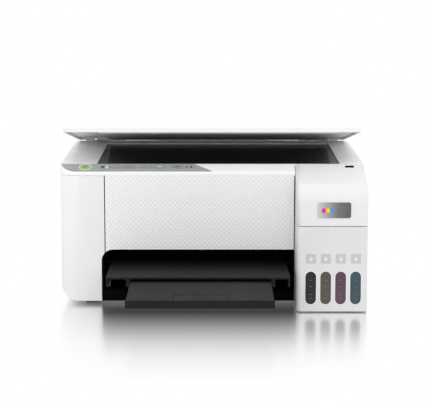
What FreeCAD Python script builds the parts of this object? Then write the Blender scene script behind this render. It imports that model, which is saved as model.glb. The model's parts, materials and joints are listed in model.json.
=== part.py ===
"""Ink-tank inkjet printer with a flatbed scanner, as a parametric assembly.

Every size is in millimetres. The design frame has X to the right, Y to the back with Y = 0 on
the ink tank block's front face, and Z up from the surface that the feet stand on. Each sub-part
is placed front_y along Y, so that the origin is the centre of the bounding box's bottom face.
The lid, the sloping control panel and the rear sheet feeder have local frames of their own.
"""
import FreeCAD, Part
import os
import re

import Sketcher
from FreeCAD import Placement, Rotation, Vector

DIMS = {
    # outside
    "half_width": 187.5, "front_y": -97, "body_front": 46, "body_back": 347, "skin": 2.6,
    "play": 0.4, "case_bottom": 4.5, "case_top": 160.7, "corner_r": 25, "under_r": 20.5,
    "pillar_right": -132.4, "bay_left": -136.2, "bay_right": 101.6, "bay_top": 69,
    "bay_corner_r": 14, "foot_r": 9, "foot_left": -150,
    "foot_right": 165, "foot_front": 80, "foot_back": 315, "block_foot_x": 150,
    "block_foot_y": 30, "pan_front": 69.9, "pan_wall": 2.5, "pan_gap": 0.3, "boss_front": 314,
    "boss_back": 331, "boss_low": 130, "cover_back": 344.3, "crest_half": 178, "crest_r": 3,
    # rear cover, its screws and its sockets
    "seam_gap": 0.3, "shelf_in": 122, "shelf_out": 176, "shelf_front": 314, "shelf_low": 144,
    "shelf_t": 2.6, "screw_x": 168, "screw_low": 24, "screw_high": 118, "screw_r": 3,
    "screw_shank_r": 1.5, "screw_play": 0.1, "vent_left": 60, "vent_pitch": 6, "vent_w": 3,
    "vent_low": 70, "vent_high": 110, "inlet_left": 130, "inlet_right": 152,
    "inlet_low": 30, "inlet_high": 50, "inlet_front": 326, "inlet_wall_x": 3,
    "inlet_wall_z": 4, "inlet_pin_r": 1.2, "inlet_pin_left": 137.5, "inlet_pin_right": 144.5,
    "inlet_z": 40, "usb_left": -180.6, "usb_right": -167, "usb_low": 39, "usb_high": 51,
    "usb_wall": 2.4,
    # ink tank block
    "block_left": 102, "block_bottom": 1.5, "block_top": 105.6, "block_back": 66,
    "block_left_r": 5.5, "block_right_r": 3, "window_r": 6.6, "window_low": 16.7, "window_high": 44.2,
    "tank_half": 8, "tank_back": 60, "tank_low": 6, "tank_top": 92, "neck_r": 5.5,
    "neck_y": 30, "neck_top": 97, "bore_r": 2.5, "bore_depth": 8,
    "ear_in": 4, "ear_out": 6, "ear_half": 3, "back_inset": 1.2, "cap_axis_y": 46, "cap_axis_z": 99,
    "cap_pin_r": 1, "fit": 0.05, "cap_r": 7, "cap_t": 3, "cap_tab_half": 3,
    "cap_tab_len": 4, "cap_tab_t": 2, "cap_arm_half": 3.5, "cap_arm_t": 2.6, "hub_r": 2.4,
    "first_tank": 119.25, "tank_pitch": 18.07,
    # ink tank cover
    "cover_low": 106.4, "cover_corner": 151.6, "cover_end_y": 65.4, "cover_end_z": 172.2,
    "cover_r": 22, "cover_left_r": 5, "cover_axis_y": 63.9, "cover_axis_z": 169.6,
    "cover_pin_r": 1.2, "cover_knuckle_r": 2, "cover_knuckle": 6, "post_half": 1.5, "post_gap": 1.9,
    "left_post": 118, "right_post": 172, "badge_left": 126.4, "badge_right": 166.8, "badge_low": 116.2,
    "badge_high": 135.1, "badge_t": 0.8,
    # scanner unit
    "seam": 161, "scan_top": 172.5, "scan_front": 66.9, "scan_back": 312, "deck": 166.6,
    "glass_left": -142, "glass_right": 158.3, "glass_front": 69.3, "glass_back": 286,
    "glass_low": 168.3, "glass_top": 170.9, "ledge": 3.8, "tub_half": 181, "tub_front": 70,
    "tub_back": 309, "tub_low": 140, "tub_high": 166.4, "rear_r": 8,
    "hinge_y": 322, "hinge_z": 158, "hinge_pin_r": 3, "arm_in": 168, "arm_out": 176,
    "panel_left": -131.2, "panel_right": 100.8, "panel_t": 2.6,
    # scan mechanism
    "rod_r": 4, "rod_y": 190, "rod_z": 150, "rod_half": 178.4, "head_left": -138,
    "head_w": 20, "head_front": 76, "head_back": 300, "head_low": 155.5, "head_high": 165,
    "rack_y": 205, "rack_top": 147, "pinion_r": 4, "pinion_y": 205.5,
    # sloping control panel, in its local frame
    "strip_y": 48, "strip_z": 165.47, "strip_slope": 20, "strip_len": 19.7, "overlay_t": 0.8,
    "overlay_end_low": 0, "overlay_end_high": -22, "button_row": 11.1, "power_x": -155.8,
    "power_r": 6.1, "pill_half": 3.4, "pill_r": 3.6, "button_low": -5.4, "button_high": 1.6,
    "button_gap": 0.35, "panel_board_left": -168,
    "panel_board_right": -25, "board_low": -8.2, "board_high": -6.6,
    # lid, in the frame of its hinge
    "lid_axis_y": 316, "lid_axis_z": 171.5, "lid_open": 9, "lid_left": -184.5,
    "lid_right": 184.3, "lid_len": 249, "lid_rear": 3, "lid_low": 1.4, "lid_high": 6.4,
    "lid_rim": 2.4, "lid_roof": 2, "lid_r": 8, "mat_left": -139.4, "mat_right": 158,
    "mat_front": -245.3, "mat_rear": -31, "mat_low": 0.5, "lid_pin_r": 1.5,
    "knuckle_r": 3, "knuckle_x": 150, "knuckle_half": 8.5, "ear_t": 3,
    # output bay and trays
    "bay_floor": 16.4, "bay_depth": 208, "bay_wall": 2.4, "bay_side_top": 54,
    "tray_left": -126, "tray_right": 93, "tray_front": -30, "tray_back": 125,
    "tray_low": 38, "tray_top": 49.6, "tray_wall": 2.4, "ext_left": -97, "ext_right": 70,
    "ext_front": -153, "ext_back": 0, "ext_low": 40.8, "ext_t": 4, "slab_t": 6,
    "slab_low": 40, "slab_high": 49, "guide_w": 5, "stop_left": -44, "stop_right": 17,
    "stop_axis_y": -140.5, "stop_len": 36, "stop_t": 3.4, "stop_pin_r": 1.2,
    # print mechanism
    "rail_half": 176, "rail_y": 176, "rail_t": 2, "rail_low": 92, "rail_high": 134,
    "carriage_left": 108, "carriage_w": 60, "carriage_front": 112, "carriage_back": 170,
    "carriage_low": 75, "carriage_high": 130, "slider_y": 150, "slider_z": 112,
    "pulley_r": 5, "pulley_x": 160, "pulley_z": 122, "belt_y": 171, "belt_w": 4,
    "belt_t": 1, "belt_gap": 0.2, "roller_z": 66, "feed_y": 182, "feed_r": 6, "exit_y": 98,
    "exit_r": 5, "journal_r": 3, "roller_left": -140, "roller_right": 108,
    "cheek_left": -149, "cheek_right": 113, "cheek_t": 2, "motor_r": 10.5,
    "cheek_low": 56, "cheek_high": 73.5, "rib_left": -126, "rib_pitch": 26, "rib_w": 3,
    "rib_top": 70.5, "platen_left": -130, "platen_right": 104, "platen_low": 60,
    "platen_top": 68, "motor_len": 25.6, "lower_motor_z": 92,
    # electrics and ink care
    "station_left": 118, "station_right": 168, "pad_left": -120, "pad_right": 80,
    "pad_back": 300, "pad_low": 8, "pad_high": 42, "supply_left": 108, "supply_right": 178,
    "supply_back": 305, "supply_high": 26, "board_left": -182, "board_t": 1.6,
    "board_front": 210, "board_back": 336, "main_board_low": 32, "main_board_high": 125,
    "chip_t": 1.9, "chip_w": 16, "chip_low": 70,
    # rear sheet feeder, in its local frame
    "feeder_y": 336, "feeder_z": 172, "feeder_tilt": 12.6, "feeder_half": 118,
    "feeder_low": -108, "plate_t": 2, "support_half": 80, "support_t": 2.4,
    "pickup_v": -10.4, "pickup_w": -90, "pickup_r": 10, "tyre_half": 30, "guide_left": 92,
    "guide_foot_w": 14, "guide_low": -66, "guide_high": -26, "guard_v": -9.3, "guard_w": -13.4,
    "guard_half": 112, "guard_t": 1.8, "guard_len": 11, "guard_pin_r": 1.2,
}
BUTTONS = {"network_button": -119, "info_button": -101.6, "mono_copy_button": -81.4,
           "colour_copy_button": -64.1, "stop_button": -42.7}
TANKS = ["black", "yellow", "magenta", "cyan"]
COVER_POSTS = ["left_post", "right_post"]
VENTS = 8
PLATEN_RIBS = 9

doc = FreeCAD.newDocument("InkjetPrinter")
sheet = doc.addObject("Spreadsheet::Sheet", "Dims")
nodes = []


def fill_sheet():
    """Put each driving dimension in a row of the sheet, under its own name."""
    for row, (name, value) in enumerate(DIMS.items(), 1):
        sheet.set(f"A{row}", name)
        sheet.set(f"B{row}", str(value))
        sheet.setAlias(f"B{row}", name)
    doc.recompute()


def bind(text):
    """Turn an expression of dimension names into one that reads the sheet."""
    return re.sub(r"[a-z_]\w*", lambda m: "Dims." + m[0] if m[0] in DIMS else m[0], str(text))


def value(text):
    """The present value of an expression of dimension names."""
    return float(sheet.evalExpression(bind(text)))


def drive(obj, **expressions):
    """Bind properties of obj; a double underscore stands for a dot."""
    for prop, text in expressions.items():
        obj.setExpression(prop.replace("__", "."), bind(text))


def box(x0, x1, y0, y1, z0, z1):
    """A block between two corners."""
    obj = doc.addObject("Part::Box", "Block")
    drive(obj, Length=f"({x1}) - ({x0})", Width=f"({y1}) - ({y0})", Height=f"({z1}) - ({z0})",
          Placement__Base__x=x0, Placement__Base__y=y0, Placement__Base__z=z0)
    return obj


def rod(axis, start, end, a, b, r):
    """A cylinder along X (at y=a, z=b), Y (at x=a, z=b) or Z (at x=a, y=b)."""
    obj = doc.addObject("Part::Cylinder", "Rod")
    turn = {"x": Rotation(Vector(0, 1, 0), 90), "y": Rotation(Vector(1, 0, 0), -90),
            "z": Rotation()}[axis]
    obj.Placement = Placement(Vector(), turn)
    places = {"x": (start, a, b), "y": (a, start, b), "z": (a, b, start)}[axis]
    drive(obj, Radius=r, Height=f"({end}) - ({start})", Placement__Base__x=places[0],
          Placement__Base__y=places[1], Placement__Base__z=places[2])
    return obj


def cut(base, *tools):
    """base without the tools."""
    obj = doc.addObject("Part::Cut", "Cut")
    obj.Base = base
    obj.Tool = tools[0] if len(tools) == 1 else fuse(*tools)
    return obj


def fuse(*pieces):
    """The pieces joined into one."""
    obj = doc.addObject("Part::MultiFuse", "Join")
    obj.Shapes = list(pieces)
    return obj


def common(base, tool):
    """What two solids share."""
    obj = doc.addObject("Part::Common", "Shared")
    obj.Base = base
    obj.Tool = tool
    return obj


def group(solids):
    """Separate solids that share one sub-part."""
    obj = doc.addObject("Part::Compound", "Group")
    obj.Links = solids
    return obj


def fillet(base, radius, chosen):
    """base with the edges that chosen picks rounded."""
    doc.recompute()
    obj = doc.addObject("Part::Fillet", "Rounded")
    obj.Base = base
    size = value(radius)
    obj.Edges = [(i, size, size) for i, edge in enumerate(base.Shape.Edges, 1) if chosen(edge)]
    return obj


def along(axis, **at):
    """A test for straight edges along an axis, at the given places on the other axes."""
    wanted = {name: value(text) for name, text in at.items()}

    def test(edge):
        ends = [v.Point for v in edge.Vertexes]
        if len(ends) != 2:
            return False
        run = ends[1] - ends[0]
        if abs(abs(getattr(run, axis)) - run.Length) > 1e-6:
            return False
        return all(abs(getattr(ends[0], name) - place) < 1e-6 for name, place in wanted.items())
    return test


def prism(plane, start, end, *points):
    """A Body whose sketch on an origin plane is padded from start to end along its normal."""
    body = doc.addObject("PartDesign::Body", "Profile")
    sketch = body.newObject("Sketcher::SketchObject", "Outline")
    base = [f for f in body.Origin.OriginFeatures if f.Role == plane][0]
    sketch.AttachmentSupport = [(base, "")]
    sketch.MapMode = "FlatFace"
    spots = [Vector(value(u), value(v), 0) for u, v in points]
    for here, there in zip(spots, spots[1:] + spots[:1]):
        sketch.addGeometry(Part.LineSegment(here, there), False)
    for i, (u, v) in enumerate(points):
        sketch.addConstraint(Sketcher.Constraint("Coincident", i, 2, (i + 1) % len(points), 1))
        for kind, text, size in (("DistanceX", u, spots[i].x), ("DistanceY", v, spots[i].y)):
            number = sketch.addConstraint(Sketcher.Constraint(kind, -1, 1, i, 1, size))
            sketch.setExpression(f"Constraints[{number}]", bind(text))
    # the XZ plane faces -Y, so its pad starts from the far end
    drive(sketch, AttachmentOffset__Base__z=f"-({end})" if plane == "XZ_Plane" else start)
    pad = body.newObject("PartDesign::Pad", "Pad")
    pad.Profile = sketch
    drive(pad, Length=f"({end}) - ({start})")
    body.Tip = pad
    return body


def stadium(x, y0, y1, low, high, r):
    """An upright round-ended slot shape along Y, centred on x."""
    return fuse(box(f"{x} - ({r})", f"{x} + ({r})", y0, y1, low, high),
                rod("y", y0, y1, x, low, r), rod("y", y0, y1, x, high, r))


def node(label, obj, x="0", y="front_y", z="0", tilt=None):
    """Name a finished sub-part and place it; tilt turns it about X."""
    if obj.TypeId in ("Part::Box", "Part::Cylinder"):
        obj = group([obj])  # a primitive's own Placement already holds its place
    obj.Label = label
    if tilt is not None:
        obj.Placement = Placement(Vector(), Rotation(Vector(1, 0, 0), value(tilt)))
    drive(obj, Placement__Base__x=x, Placement__Base__y=y, Placement__Base__z=z)
    nodes.append(obj)
    return obj


def strip_node(label, obj):
    """A sub-part modelled on the control panel's slope."""
    return node(label, obj, y="front_y + strip_y", z="strip_z", tilt="strip_slope")


def lid_node(label, obj):
    """A sub-part modelled about the lid's hinge axis."""
    return node(label, obj, y="front_y + lid_axis_y", z="lid_axis_z", tilt="-lid_open")


def feeder_node(label, obj):
    """A sub-part modelled on the rear feeder's sheet plane."""
    return node(label, obj, y="front_y + feeder_y", z="feeder_z", tilt="-feeder_tilt")


# ---- outer case ----

def rounded_side(inset, right, back, top):
    """The left side's outer form, with its round front corner and round lower edge."""
    left = f"-half_width + {inset}"
    front = f"body_front + {inset}"
    low = f"case_bottom + {inset}"
    upright = fillet(box(left, right, front, back, low, top), f"corner_r - {inset}",
                     along("z", x=left, y=front))
    level = fillet(box(left, right, front, back, low, top), f"under_r - {inset}",
                   along("y", x=left, z=low))
    return common(upright, level)


def hinge_boss(side):
    """The block and pin on which one side of the scanner unit turns."""
    inner, outer = ("arm_out + 1", "half_width - skin + 0.2")
    pin = ("arm_in - 1", "arm_out + 1")
    if side < 0:
        inner, outer = (f"-({outer})", f"-({inner})")
        pin = tuple(f"-({end})" for end in reversed(pin))
    block = box(inner, outer, "boss_front", "boss_back", "boss_low", "case_top")
    return fuse(block, rod("x", pin[0], pin[1], "hinge_y", "hinge_z", "hinge_pin_r"))


def bay_corner(x0, x1):
    """A slice of the web that rounds the output bay's top left corner."""
    low = "bay_top - bay_corner_r"
    web = box(x0, x1, "body_front", "body_front + skin", low, "bay_top")
    return cut(web, rod("y", "body_front - 1", "body_front + skin + 1",
                        "bay_left + bay_corner_r", low, "bay_corner_r"))


def make_case():
    outer = rounded_side(0, "pillar_right", "cover_back", "case_top")
    inner = rounded_side("skin", "pillar_right + 1", "cover_back + 1", "case_top + 1")
    step = box("bay_left", "pillar_right + 1", "body_front - 1", "cover_back + 1",
               "case_bottom - 1", "bay_top")
    corner = bay_corner("bay_left", "pillar_right")
    node("left_side_cover", fuse(cut(outer, inner, step), corner, hinge_boss(-1)))
    wall = box("half_width - skin", "half_width", "block_back + play", "cover_back",
               "case_bottom", "case_top")
    node("right_side_cover", fuse(wall, hinge_boss(1)))
    pan_left, pan_right = "bay_left + pan_gap", "half_width - skin - play"
    pan_back = "cover_back - 2 * pan_gap"
    pan = box(pan_left, pan_right, "pan_front", pan_back, "case_bottom", "bay_floor - play")
    hollow = box(f"{pan_left} + pan_wall", f"{pan_right} - pan_wall", "pan_front + pan_wall",
                 f"{pan_back} - pan_wall", "case_bottom + pan_wall", "bay_floor + 1")
    node("base_tray", cut(pan, hollow))
    make_rear_cover()
    feet = [rod("z", 0, "case_bottom", x, y, "foot_r")
            for x, y in (("foot_left", "foot_front"), ("foot_left", "foot_back"),
                         ("foot_right", "foot_back"))]
    front_foot = rod("z", 0, "block_bottom", "block_foot_x", "block_foot_y", "foot_r")
    node("rubber_feet", group(feet + [front_foot]))


def screw_places():
    return [(x, z) for x in ("-screw_x", "screw_x") for z in ("screw_low", "screw_high")]


def make_rear_cover():
    front, through = "cover_back + seam_gap", ("cover_back", "body_back + 1")
    wall = box("-half_width", "half_width", front, "body_back", "case_bottom", "case_top")
    wall = fillet(wall, "under_r", along("y", x="-half_width", z="case_bottom"))
    crest = box("-crest_half", "crest_half", front, "body_back", "case_top - 1", "feeder_z - 2")
    rounded = fuse(wall, fillet(crest, "crest_r", along("y", z="feeder_z - 2")))
    shelves = [box(x0, x1, "shelf_front", "cover_back + 1", "shelf_low", "shelf_low + shelf_t")
               for x0, x1 in (("-shelf_out", "-shelf_in"), ("shelf_in", "shelf_out"))]
    holes = [rod("y", *through, x, z, "screw_r + screw_play") for x, z in screw_places()]
    inlet = box("inlet_left - play", "inlet_right + play", *through, "inlet_low - play",
                "inlet_high + play")
    usb = box("usb_left - play", "usb_right + play", *through, "usb_low - play",
              "usb_high + play")
    vents = [box(f"vent_left + {i} * vent_pitch", f"vent_left + {i} * vent_pitch + vent_w",
                 *through, "vent_low", "vent_high") for i in range(VENTS)]
    node("rear_cover", cut(fuse(rounded, *shelves), *holes, inlet, usb, *vents))
    screws = []
    for x, z in screw_places():
        head = rod("y", "cover_back + 2 * seam_gap", "body_back - 0.2", x, z, "screw_r")
        shank = rod("y", "cover_back - 8", "cover_back + 1", x, z, "screw_shank_r")
        screws.append(fuse(head, shank))
    node("case_screws", group(screws))


# ---- ink tank block ----

def tank_x(number):
    return f"(first_tank + {number} * tank_pitch)"


def make_tank_block():
    block = box("block_left", "half_width", 0, "block_back", "block_bottom", "block_top")
    eased = fillet(block, "block_left_r", along("z", x="block_left", y="0"))
    rounded = fillet(eased, "block_right_r", along("z", x="half_width", y="0"))
    hollow = box("block_left + skin", "half_width - skin", "skin", "block_back - skin",
                 "block_bottom + skin", "block_top + 1")
    windows = [stadium(tank_x(i), -1, "skin + 1", "window_low", "window_high", "window_r")
               for i in range(len(TANKS))]
    back = box("block_left + skin + back_inset", "half_width - skin - back_inset",
               "block_back - skin", "block_back", "block_top - 1", "case_top")
    posts = [piece for x in COVER_POSTS for piece in cover_post(x)]
    node("ink_tank_housing", fuse(cut(rounded, hollow, *windows), back, *posts))
    for i, ink in enumerate(TANKS):
        make_tank(i, ink)
        make_cap(i, ink)


def cover_post(x):
    """A post with a pin through it, on which the ink tank cover turns."""
    post = box(f"{x} - post_half", f"{x} + post_half", "cover_axis_y - cover_pin_r",
               "cover_axis_y + cover_pin_r", "case_top - 4", "cover_axis_z")
    pin = rod("x", f"{x} - cover_knuckle", f"{x} + cover_knuckle", "cover_axis_y",
              "cover_axis_z", "cover_pin_r")
    return post, pin


def make_tank(i, ink):
    x = tank_x(i)
    body = box(f"{x} - tank_half", f"{x} + tank_half", "skin + play", "tank_back",
               "tank_low", "tank_top")
    lens = stadium(x, "play", "skin + 1", "window_low", "window_high", "window_r - play")
    neck = rod("z", "tank_top - 1", "neck_top", x, "neck_y", "neck_r")
    ears = [box(f"{x} + ({x0})", f"{x} + ({x1})", "cap_axis_y - ear_half",
                "cap_axis_y + ear_half", "tank_top - 1", "cap_axis_z + ear_half")
            for x0, x1 in (("-ear_out", "-ear_in"), ("ear_in", "ear_out"))]
    pin = rod("x", f"{x} - ear_in - 1", f"{x} + ear_in + 1", "cap_axis_y", "cap_axis_z",
              "cap_pin_r")
    bore = rod("z", "neck_top - bore_depth", "neck_top + 1", x, "neck_y", "bore_r")
    node(f"ink_tank_{ink}", cut(fuse(body, lens, neck, pin, *ears), bore))


def make_cap(i, ink):
    x, low = tank_x(i), "neck_top + play"
    disc = rod("z", low, f"{low} + cap_t", x, "neck_y", "cap_r")
    tab = box(f"{x} - cap_tab_half", f"{x} + cap_tab_half", "neck_y - cap_r - cap_tab_len",
              "neck_y - cap_r + 2", low, f"{low} + cap_tab_t")
    sides = (f"{x} - cap_arm_half", f"{x} + cap_arm_half")
    arm = box(*sides, "neck_y + 4", "cap_axis_y", low, f"{low} + cap_arm_t")
    hub = rod("x", *sides, "cap_axis_y", "cap_axis_z", "hub_r")
    bore = rod("x", f"{x} - ear_in", f"{x} + ear_in", "cap_axis_y", "cap_axis_z",
               "cap_pin_r + fit")
    node(f"tank_cap_{ink}", cut(fuse(disc, tab, arm, hub), bore))


def make_ink_cover():
    def wedge(x0, x1, front, corner, back, top, low, r):
        solid = prism("YZ_Plane", x0, x1, (front, low), (front, corner), (back, top),
                      (back, low))
        return fillet(solid, r, along("x", y=front, z=corner))

    def rim(x):
        side, floor, rear = value(x), value("cover_low"), value("cover_end_y")

        def test(edge):
            ends = [v.Point for v in edge.Vertexes]
            return (all(abs(p.x - side) < 1e-6 for p in ends)
                    and not all(abs(p.z - floor) < 1e-6 for p in ends)
                    and not all(abs(p.y - rear) < 1e-6 for p in ends))
        return test
    outer = wedge("block_left + 0.3", "half_width", "0", "cover_corner", "cover_end_y",
                  "cover_end_z", "cover_low", "cover_r")
    inner = wedge("block_left + skin", "half_width - skin", "skin", "cover_corner - 2",
                  "cover_end_y + 1", "cover_end_z - skin + 0.2", "cover_low - 1",
                  "cover_r - skin")
    outer = fillet(outer, "cover_left_r", rim("block_left + 0.3"))
    outer = fillet(outer, "block_right_r", rim("half_width"))
    knuckles, notches, bores = [], [], []
    for x in COVER_POSTS:
        for x0, x1 in ((f"{x} - cover_knuckle", f"{x} - post_gap"),
                       (f"{x} + post_gap", f"{x} + cover_knuckle")):
            knuckles.append(rod("x", x0, x1, "cover_axis_y", "cover_axis_z", "cover_knuckle_r"))
        notches.append(box(f"{x} - post_gap", f"{x} + post_gap", "cover_axis_y - post_gap",
                           "cover_end_y + 1", "cover_axis_z - 5", "cover_end_z + 1"))
        bores.append(rod("x", f"{x} - cover_knuckle - 0.4", f"{x} + cover_knuckle + 0.4",
                         "cover_axis_y", "cover_axis_z", "cover_pin_r + fit"))
    node("ink_cover", cut(fuse(cut(outer, inner), *knuckles), *notches, *bores))
    plate = box("badge_left", "badge_right", "-badge_t", "0", "badge_low", "badge_high")
    for x in ("badge_left", "badge_right"):
        plate = fillet(plate, "2.5", along("y", x=x))
    node("ink_cover_badge", plate)


# ---- scanner unit ----

def make_scanner():
    tub = box("-tub_half", "tub_half", "tub_front", "tub_back", "tub_low", "tub_high")
    hollow = box("-tub_half + skin", "tub_half - skin", "tub_front + skin", "tub_back - skin",
                 "tub_low + skin", "tub_high + 1")
    rack = box("-rod_half", "rod_half", "rack_y", "rack_y + 4", "tub_low + skin - 1",
               "rack_top")
    arms, bores = [rack], []
    for x0, x1 in (("-arm_out", "-arm_in"), ("arm_in", "arm_out")):
        arms.append(box(x0, x1, "tub_back - 1", "hinge_y", "hinge_z - 6", "case_top"))
        arms.append(rod("x", x0, x1, "hinge_y", "hinge_z", "6"))
        bores.append(rod("x", f"{x0} - 1", f"{x1} + 1", "hinge_y", "hinge_z",
                         "hinge_pin_r + fit"))
    node("scanner_lower_case", cut(fuse(cut(tub, hollow), *arms), *bores))
    make_top_frame()
    node("scanner_glass", box("glass_left", "glass_right", "glass_front", "glass_back",
                              "glass_low", "glass_top"))
    make_front_panel()
    make_scan_drive()


def make_top_frame():
    slab = box("-half_width", "half_width", "scan_front", "scan_back", "seam", "scan_top")
    slab = fillet(slab, "rear_r", along("z", y="scan_back"))
    under = box("-half_width + skin", "half_width - skin", "scan_front + skin",
                "scan_back - skin", "seam - 1", "deck")
    seat = box("glass_left - 0.3", "glass_right + 0.3", "glass_front - 0.3",
               "glass_back + 0.3", "glass_low", "scan_top + 1")
    sight = box("glass_left + ledge", "glass_right - ledge", "glass_front + ledge",
                "glass_back - ledge", "seam", "scan_top")
    ears, bores = [], []
    for side in ("-1", "1"):
        for away in ("-knuckle_half - ear_t - 0.5", "knuckle_half + 0.5"):
            x = f"({side} * knuckle_x + {away})"
            ears.append(box(x, f"{x} + ear_t", "scan_back - 1", "lid_axis_y + 3.2",
                            "deck", "lid_axis_z + 2.6"))
            bores.append(rod("x", f"{x} - 1", f"{x} + ear_t + 1", "lid_axis_y", "lid_axis_z",
                             "lid_pin_r + fit"))
    node("scanner_top_frame", cut(fuse(cut(slab, under, seat, sight), *ears), *bores))


def plan_slab(inset):
    """The plan outline of the front left part, with its round corner, as a tall block."""
    left = f"-half_width + {inset}"
    front = f"body_front + {inset}"
    slab = box(left, f"block_left - {inset}", front, "scan_front + 2 * corner_r",
               "seam - 20", "scan_top + 20")
    return fillet(slab, f"corner_r - {inset}", along("z", x=left, y=front))


def make_front_panel():
    sheet_part = box("panel_left", "panel_right", "body_front", "body_front + panel_t",
                     "bay_top", "seam")
    horn = bay_corner("panel_left", "bay_left + bay_corner_r")
    node("front_panel", fuse(sheet_part, horn))
    top = "(strip_z + (scan_front - 0.4 - strip_y) * tan(strip_slope))"
    outer = prism("YZ_Plane", "-half_width", "block_left", ("body_front", "seam"),
                  ("body_front", "strip_z - 1.4"), ("strip_y", "strip_z"),
                  ("scan_front - 0.4", top), ("scan_front - 0.4", "seam"))
    inner = prism("YZ_Plane", "-half_width - 1", "block_left + 1",
                  ("strip_y + 1.2", "seam - 1"), ("strip_y + 1.2", "strip_z - 2.4"),
                  ("scan_front + 1", f"{top} - 2.4"), ("scan_front + 1", "seam - 1"))
    shell = cut(common(outer, plan_slab(0)), common(inner, plan_slab("skin")))
    node("panel_housing", cut(shell, *button_holes()))
    strip = prism("XY_Plane", "0", "overlay_t", ("-half_width", "0.6"),
                  ("overlay_end_low", "0.6"), ("overlay_end_high", "strip_len"),
                  ("-half_width", "strip_len"))
    strip.Placement = Placement(Vector(), Rotation(Vector(1, 0, 0), value("strip_slope")))
    drive(strip, Placement__Base__y="strip_y", Placement__Base__z="strip_z")
    node("control_panel", cut(common(strip, plan_slab("1.2")), *button_holes()))
    strip_node("panel_circuit_board", box("panel_board_left", "panel_board_right",
                                           "button_row - 7", "button_row + 5", "board_low",
                                           "board_high"))
    strip_node("power_button", button_shape("power_x", True, 0, "button_low", "button_high"))
    for name, x in BUTTONS.items():
        strip_node(name, button_shape(x, False, 0, "button_low", "button_high"))


def button_shape(x, is_round, grow, low, high):
    """A round or a long button, or with grow the hole that it moves in."""
    if is_round:
        return rod("z", low, high, x, "button_row", f"power_r + {grow}")
    r = f"pill_r + {grow}"
    ends = [rod("z", low, high, f"{x} + {side} * pill_half", "button_row", r)
            for side in (-1, 1)]
    return fuse(box(f"{x} - pill_half", f"{x} + pill_half", f"button_row - ({r})",
                    f"button_row + {r}", low, high), *ends)


def button_holes():
    """The holes in the sloping surface for all six buttons."""
    holes = [button_shape("power_x", True, "button_gap", -8, 4)]
    holes += [button_shape(x, False, "button_gap", -8, 4) for x in BUTTONS.values()]
    # a group around each hole carries the slope, as a lone cylinder's Placement is bound
    holes = [group([hole]) for hole in holes]
    for hole in holes:
        hole.Placement = Placement(Vector(), Rotation(Vector(1, 0, 0), value("strip_slope")))
        drive(hole, Placement__Base__y="strip_y", Placement__Base__z="strip_z")
    return holes


def make_scan_drive():
    node("scan_rod", rod("x", "-rod_half", "rod_half", "rod_y", "rod_z", "rod_r"))
    bar = box("head_left", "head_left + head_w", "head_front", "head_back", "head_low",
              "head_high")
    block = box("head_left - 2", "head_left + head_w + 2", "rod_y - 9", "rack_y - 0.6",
                "rod_z - 6", "head_low + 1")
    bore = rod("x", "head_left - 4", "head_left + head_w + 4", "rod_y", "rod_z", "rod_r + fit")
    spot = ("head_left + 10", "rack_top + 0.3 + pinion_r")
    socket = rod("y", "rack_y - 6", "rack_y", *spot, "1 + fit")
    node("scan_head", cut(fuse(bar, block), bore, socket))
    shaft = rod("y", "rack_y - 5", "pinion_y + 1", *spot, "1")
    node("scan_pinion", fuse(shaft, rod("y", "pinion_y", "pinion_y + 3", *spot, "pinion_r")))


# ---- lid ----

def make_lid():
    shell = box("lid_left", "lid_right", "-lid_len", "-lid_rear", "lid_low", "lid_high")
    shell = fillet(shell, "lid_r", along("z", y="-lid_len"))
    hollow = box("lid_left + lid_rim", "lid_right - lid_rim", "-lid_len + lid_rim",
                 "-lid_rear - lid_rim", "lid_low - 1", "lid_high - lid_roof")
    reach = "(knuckle_half + ear_t + 0.9)"
    notches = [box(f"{side} * knuckle_x - {reach}", f"{side} * knuckle_x + {reach}",
                   "-lid_rear - lid_rim - 1", "-lid_rear + 1", "lid_low - 1", "knuckle_r + 0.2")
               for side in ("-1", "1")]
    lid_node("lid_shell", cut(shell, hollow, *notches))
    lid_node("document_mat", box("mat_left", "mat_right", "mat_front", "mat_rear", "mat_low",
                                 "lid_high - lid_roof"))
    arms = []
    for side in ("-1", "1"):
        x0 = f"({side} * knuckle_x - knuckle_half)"
        x1 = f"({side} * knuckle_x + knuckle_half)"
        plate = box(x0, x1, "-20", "-0.5", "lid_low", "knuckle_r - 0.2")
        knuckle = rod("x", x0, x1, "0", "0", "knuckle_r")
        pin = rod("x", f"{x0} - ear_t", f"{x1} + ear_t", "0", "0", "lid_pin_r")
        pad = box(x0, x1, "-20", "-6", "lid_low", "lid_high - lid_roof")
        arms.append(fuse(plate, knuckle, pin, pad))
    lid_node("lid_hinge_arms", group(arms))


# ---- output bay and trays ----

def make_output():
    right, left = "bay_right", "bay_left + 0.4"
    front = "body_front + skin + play"
    outer = box(left, right, front, "bay_depth", "bay_floor", "bay_side_top")
    collar = box(left, right, front, "body_front + 28", "bay_side_top - 1", "bay_top - play")
    hollow = box(f"{left} + bay_wall", f"{right} - bay_wall", "body_front - 1",
                 "bay_depth - bay_wall", "bay_floor + bay_wall", "bay_top + 1")
    sill = box(left, right, "body_front + 0.4", f"{front} + 1", "case_bottom", "bay_floor + 1")
    rails = []
    for x0, x1 in ((left, "tray_left + 8"), ("tray_right - 8", right)):
        rails.append(box(x0, x1, "body_front + 6", "bay_depth - 1", "tray_low - 5",
                         "tray_low - play"))
    for x0, x1 in ((left, "tray_left + 3"), ("tray_right - 3", right)):
        rails.append(box(x0, x1, "body_front + 14", "bay_depth - 1", "tray_top + play",
                         "tray_top + 3"))
    node("output_bay_liner", fuse(cut(fuse(outer, collar), hollow), sill, *rails))
    make_tray()
    make_extension()


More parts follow.
